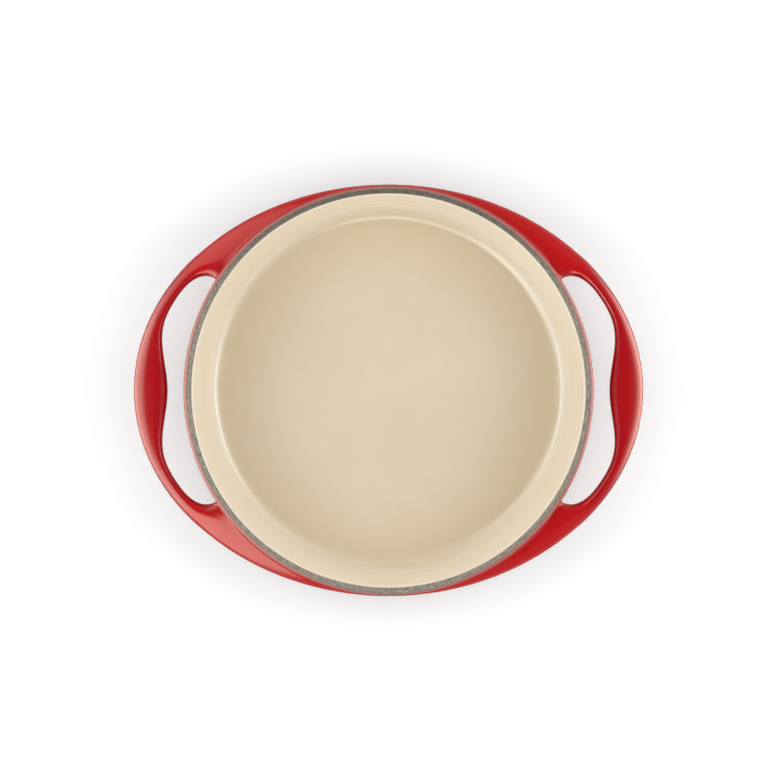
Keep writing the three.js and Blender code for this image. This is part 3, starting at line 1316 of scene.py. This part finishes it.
@dataclass(frozen=True)
class Softbox:
    """A soft lamp that faces the axis of the pan."""

    name: str
    lights: Lights
    direction: float
    distance: float
    level: float
    width: float
    height: float
    power: float
    aim_level: float = 0.0
    fade: float = 1.0
    spread: float = math.pi
    end_share: float = 0.35

    def shade(self, lamp: bpy.types.Light) -> None:
        """Lets the lamp fade towards its top and its ends, as a lamp behind cloth does.

        Args:
            lamp: The lamp.
        """
        lamp.use_nodes = True
        sheet = Sheet(lamp.node_tree)
        place = sheet.add("ShaderNodeNewGeometry").outputs["Parametric"]
        spot = sheet.add("ShaderNodeSeparateXYZ", {0: place}).outputs
        up = sheet.span(sheet.step(spot["Y"], 0.0, 1.0), 1.0, self.fade)
        start = sheet.step(spot["X"], 0.0, self.end_share)
        end = sheet.without(sheet.step(spot["X"], 1.0 - self.end_share, 1.0))
        strength = sheet.math("MULTIPLY", up, sheet.math("MULTIPLY", start, end))
        sheet.feed(lamp.node_tree.nodes["Emission"].inputs["Strength"], strength)

    def build(self) -> None:
        """Hangs the lamp."""
        lamp = bpy.data.lights.new(self.name, "AREA")
        lamp.shape = "RECTANGLE"
        lamp.size = self.width
        lamp.size_y = self.height
        lamp.energy = self.power
        lamp.spread = self.spread
        if self.lights is Lights.HIGHLIGHT:
            self.shade(lamp)
        hung = bpy.data.objects.new(self.name, lamp)
        hung.location = polar(self.distance, self.direction, self.level)
        towards = hung.location - Vector((0, 0, self.aim_level))
        hung.rotation_euler = towards.to_track_quat("Z", "Y").to_euler()
        hung.visible_camera = False
        hung.visible_diffuse = self.lights is Lights.ROOM
        hung.visible_glossy = self.lights is Lights.HIGHLIGHT
        bpy.context.scene.collection.objects.link(hung)
        log.info("%s: lamp", self.name)


ROOM_LAMPS = (
    Softbox("left_lamp", Lights.ROOM, math.pi, distance=0.8, level=0.65, width=0.8, height=0.5, power=3.3),
    Softbox("right_lamp", Lights.ROOM, 0.0, distance=0.8, level=0.65, width=0.8, height=0.5, power=3.6),
    Softbox("overhead_lamp", Lights.ROOM, 0.0, distance=0.0, level=2.2, width=2.5, height=2.5, power=9.0),
)
HIGHLIGHT_CARDS = (
    Softbox(
        "left_card",
        Lights.HIGHLIGHT,
        math.radians(184),
        distance=0.22,
        level=0.095,
        aim_level=0.095,
        width=0.4,
        height=0.15,
        power=0.44,
        spread=math.radians(130),
    ),
    Softbox(
        "back_left_card",
        Lights.HIGHLIGHT,
        math.radians(138),
        distance=0.55,
        level=0.5,
        aim_level=0.05,
        width=0.5,
        height=0.75,
        power=1.5,
        fade=0.8,
    ),
    Softbox(
        "front_left_card",
        Lights.HIGHLIGHT,
        math.radians(226),
        distance=0.55,
        level=0.5,
        aim_level=0.05,
        width=0.5,
        height=0.75,
        power=3.6,
    ),
    Softbox(
        "front_card",
        Lights.HIGHLIGHT,
        math.radians(270),
        distance=0.6,
        level=0.6,
        width=0.5,
        height=0.3,
        power=1.5,
    ),
    Softbox(
        "right_card",
        Lights.HIGHLIGHT,
        math.radians(4),
        distance=0.25,
        level=0.1,
        aim_level=0.1,
        width=0.4,
        height=0.2,
        power=0.48,
        fade=0.85,
        spread=math.radians(104),
    ),
)


@dataclass
class Studio:
    """Pale floor, soft lamps, and the camera above the pan."""

    sizes: PanSizes
    floor_half: float = 3.0
    floor_seen: float = 0.95
    floor_unseen: float = 0.4
    floor_lift: float = 0.18
    floor_sink: float = 0.1 * MM
    floor_matt: float = 0.9
    wall_glow: float = 1.35
    wall_from: float = 0.38
    wall_to: float = 0.56
    wall_share: float = 0.65
    cove_from: float = 0.8
    cove_to: float = 0.94
    cove_share: float = 0.3
    ceiling_share: float = 0.05
    mirrored_from: float = 0.2
    mirrored_to: float = 0.4
    mirrored_share: float = 0.45
    sensor_width: float = 36.0
    camera_distance: float = 3.0
    camera_tilt: float = math.radians(2)
    view_width: float = 493.6 * MM
    aim_x: float = 0.93 * MM
    aim_y: float = 0.56 * MM

    def build(self) -> None:
        """Sets up the floor, the surroundings, the lamps and the camera."""
        self.floor()
        self.surroundings()
        for lamp in (*ROOM_LAMPS, *HIGHLIGHT_CARDS):
            lamp.build()
        self.camera()
        bpy.context.scene.view_settings.view_transform = "Standard"

    def floor(self) -> None:
        """Lays the floor, which stays white to the eye and keeps the pan's shadow."""
        grid = bmesh.new()
        bmesh.ops.create_grid(grid, x_segments=1, y_segments=1, size=self.floor_half)
        mesh = bpy.data.meshes.new("floor")
        grid.to_mesh(mesh)
        grid.free()
        laid = bpy.data.objects.new("floor", mesh)
        laid.location.z = -self.floor_sink
        bpy.context.scene.collection.objects.link(laid)
        made = bpy.data.materials.new("pale_floor")
        made.use_nodes = True
        sheet = Sheet(made.node_tree)
        skin = made.node_tree.nodes["Principled BSDF"].inputs
        skin["Roughness"].default_value = self.floor_matt
        skin["Specular IOR Level"].default_value = 0.0
        skin["Emission Color"].default_value = WHITE
        rays = sheet.add("ShaderNodeLightPath").outputs
        mirrored = sheet.math("MAXIMUM", rays["Is Glossy Ray"], rays["Is Transmission Ray"])
        seen = sheet.math("MAXIMUM", rays["Is Camera Ray"], mirrored)
        sheet.feed(skin["Base Color"], sheet.span(rays["Is Camera Ray"], self.floor_unseen, self.floor_seen))
        sheet.feed(skin["Emission Strength"], sheet.math("MULTIPLY", seen, self.floor_lift))
        mesh.materials.append(made)
        log.info("floor: laid")

    def surroundings(self) -> None:
        """Lights the room softly from its walls, under a dark ceiling."""
        world = bpy.data.worlds.new("studio")
        world.use_nodes = True
        sheet = Sheet(world.node_tree)
        direction = sheet.add("ShaderNodeTexCoord").outputs["Generated"]
        up = sheet.add("ShaderNodeSeparateXYZ", {0: direction}).outputs["Z"]
        mirrored = sheet.add("ShaderNodeLightPath").outputs["Is Glossy Ray"]
        low = sheet.span(mirrored, self.wall_from, self.mirrored_from)
        high = sheet.span(mirrored, self.wall_to, self.mirrored_to)
        walls = sheet.math("MULTIPLY", sheet.without(sheet.step(up, low, high)), self.wall_share)
        cove = sheet.without(sheet.step(up, self.cove_from, self.cove_to))
        glow = sheet.math("ADD", walls, sheet.math("MULTIPLY", cove, self.cove_share))
        lit = sheet.math("MULTIPLY", sheet.math("ADD", glow, self.ceiling_share), self.wall_glow)
        strength = sheet.math("MULTIPLY", lit, sheet.span(mirrored, 1.0, self.mirrored_share))
        shade = world.node_tree.nodes["Background"].inputs
        sheet.feed(shade["Strength"], strength)
        shade["Color"].default_value = WHITE
        bpy.context.scene.world = world

    def camera(self) -> None:
        """Hangs the camera above the rim, a little towards the back."""
        lens = bpy.data.cameras.new("camera")
        lens.sensor_width = self.sensor_width
        lens.lens = self.sensor_width * self.camera_distance / self.view_width
        eye = bpy.data.objects.new("camera", lens)
        aim = Vector((self.aim_x, self.aim_y, self.sizes.height))
        back = Vector((0, math.sin(self.camera_tilt), math.cos(self.camera_tilt)))
        eye.location = aim + back * self.camera_distance
        eye.rotation_euler = (-self.camera_tilt, 0, 0)
        bpy.context.scene.collection.objects.link(eye)
        bpy.context.scene.camera = eye


def main() -> None:
    """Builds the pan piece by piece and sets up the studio."""
    logging.basicConfig(level=logging.INFO, format="%(message)s")
    sizes = PanSizes.of_frame()
    Casting().dress()
    for coat in (ExteriorCoat(sizes), InteriorCoat(sizes), RimBand(sizes), BaseCoat(sizes)):
        coat.build()
    Studio(sizes).build()


if __name__ == "__main__":
    main()
